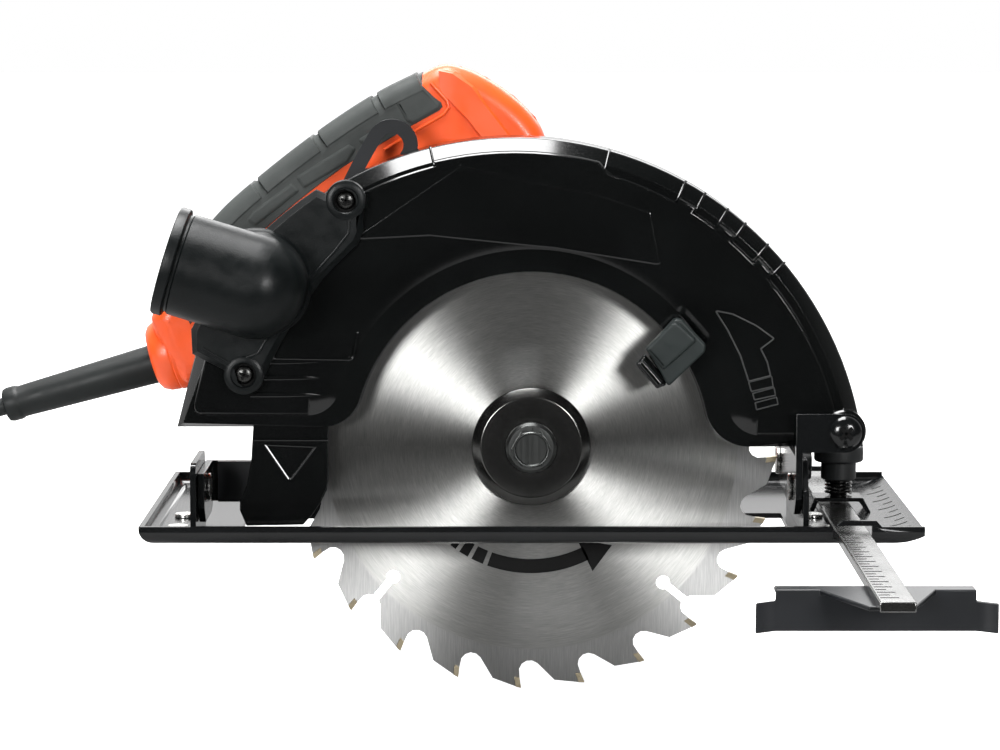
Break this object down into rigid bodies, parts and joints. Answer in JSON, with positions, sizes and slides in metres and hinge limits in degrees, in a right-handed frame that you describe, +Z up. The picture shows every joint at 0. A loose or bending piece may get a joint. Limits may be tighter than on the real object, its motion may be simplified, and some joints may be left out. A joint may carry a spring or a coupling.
{
  "type": "circular saw",
  "caption": "Hand-held circular saw with a retracting lower guard, a slotted depth arc, a tilting sole, a side edge guide and a coiled mains cord.",
  "frame": {"origin": "centre of the underside of the sole", "axes": "+X is the cutting direction, +Y points to the motor's side, +Z is up, away from the work"},
  "size_m": [0.5535, 0.3438, 0.2347],
  "materials": {
    "gloss_enamel": "gloss",
    "guard_black": "gloss",
    "matte_black": "fine grain",
    "orange_plastic": "satin",
    "grip_rubber": "matte",
    "cord_rubber": "matte",
    "brushed_steel": "brushed",
    "dark_steel": "oiled",
    "zinc_steel": "plated",
    "carbide": "ground",
    "copper_wire": "enamelled",
    "brush_brass": "machined",
    "carbon": "sintered",
    "die_cast": "cast",
    "lever_grey": "fine grain"
  },
  "bodies": {
    "base": {"sole_plate": "gloss_enamel", "front_upstand": "gloss_enamel", "rear_upstand": "gloss_enamel", "sole_rivets": "zinc_steel", "clamp_bridge": "gloss_enamel", "bevel_rivets": "zinc_steel"},
    "edge_guide": {"guide_arm": "brushed_steel", "guide_fence": "gloss_enamel"},
    "guide_clamp": {"clamp_screw": "zinc_steel", "clamp_knob": "matte_black"},
    "bevel_frame": {"front_bracket": "gloss_enamel", "rear_bracket": "gloss_enamel", "depth_quadrant": "gloss_enamel", "pivot_screw": "zinc_steel", "pivot_nut": "zinc_steel", "bevel_stud": "zinc_steel", "cord_lead": "cord_rubber", "cord_coil": "cord_rubber", "mains_plug": "cord_rubber"},
    "bevel_lock": {"bevel_knob": "matte_black"},
    "head": {"upper_guard": "guard_black", "gear_housing": "die_cast", "motor_housing": "orange_plastic", "motor_end_cap": "matte_black", "housing_screws": "zinc_steel", "right_handle_shell": "orange_plastic", "left_handle_shell": "orange_plastic", "handle_grip": "grip_rubber", "handle_screws": "zinc_steel", "front_handle": "matte_black", "dust_port": "matte_black", "dust_port_screws": "dark_steel", "cord_sleeve": "cord_rubber", "power_switch": "matte_black", "depth_stud": "zinc_steel", "spindle_bearings": "zinc_steel", "armature_bearings": "zinc_steel", "stator_core": "dark_steel", "field_windings": "copper_wire", "brush_holders": "brush_brass", "carbon_brushes": "carbon", "brush_caps": "matte_black", "guard_spring": "dark_steel"},
    "depth_lock": {"depth_lever": "matte_black"},
    "spindle": {"spindle": "zinc_steel", "drive_gear": "dark_steel", "inner_flange": "dark_steel", "saw_blade": "brushed_steel", "carbide_tips": "carbide", "outer_flange": "dark_steel", "blade_bolt": "zinc_steel"},
    "armature": {"armature_shaft": "zinc_steel", "armature_core": "dark_steel", "commutator": "copper_wire", "cooling_fan": "matte_black"},
    "moving_guard": {"lower_guard": "guard_black", "lever_cap": "lever_grey"},
    "trigger": {"trigger": "matte_black"},
    "lock_button": {"lock_button": "matte_black"},
    "spindle_lock": {"spindle_lock": "matte_black"}
  },
  "joints": [
    {"name": "bevel_tilt", "type": "hinge", "parent": "base", "child": "bevel_frame", "pos_m": [0, -0.0425, 0.0175], "axis": [1, 0, 0], "range_deg": [0, 45]},
    {"name": "depth_swing", "type": "hinge", "parent": "bevel_frame", "child": "head", "pos_m": [0.1162, 0, 0.0406], "axis": [0, 1, 0], "range_deg": [0, 30]},
    {"name": "blade_spin", "type": "hinge", "parent": "head", "child": "spindle", "pos_m": [0, -0.0425, 0.033], "axis": [0, 1, 0], "continuous": true},
    {"name": "armature_spin", "type": "hinge", "parent": "head", "child": "armature", "pos_m": [0.009, 0.05, 0.06162], "axis": [0, 1, 0], "continuous": true},
    {"name": "guard_swing", "type": "hinge", "parent": "head", "child": "moving_guard", "pos_m": [0, -0.0425, 0.033], "axis": [0, 1, 0], "range_deg": [-140, 0], "stiffness_Nm_per_rad": 0.15, "springref_deg": 45.84},
    {"name": "trigger_pull", "type": "hinge", "parent": "head", "child": "trigger", "pos_m": [-0.0226, 0.01, 0.138], "axis": [0, 1, 0], "range_deg": [0, 7], "stiffness_Nm_per_rad": 0.6},
    {"name": "lock_button_press", "type": "slide", "parent": "head", "child": "lock_button", "axis": [0, 1, 0], "range_m": [0, 0.003], "stiffness_N_per_m": 300},
    {"name": "spindle_lock_press", "type": "slide", "parent": "head", "child": "spindle_lock", "axis": [-1, 0, 0], "range_m": [0, 0.006], "stiffness_N_per_m": 300},
    {"name": "depth_lever_turn", "type": "hinge", "parent": "head", "child": "depth_lock", "pos_m": [-0.08221, -0.016, 0.04649], "axis": [0, 1, 0], "range_deg": [-50, 0]},
    {"name": "bevel_knob_turn", "type": "hinge", "parent": "bevel_frame", "child": "bevel_lock", "pos_m": [0.106, 0.01043, 0.02027], "axis": [1, 0, 0], "range_deg": [-180, 0]},
    {"name": "guide_slide", "type": "slide", "parent": "base", "child": "edge_guide", "axis": [0, 1, 0], "range_m": [-0.06, 0.09]},
    {"name": "clamp_turn", "type": "hinge", "parent": "base", "child": "guide_clamp", "pos_m": [0.12, 0, 0.02], "axis": [0, 0, 1], "range_deg": [-360, 0]}
  ],
  "couplings": [
    {"joint": "armature_spin", "follows": "blade_spin", "ratio": -4}
  ]
}
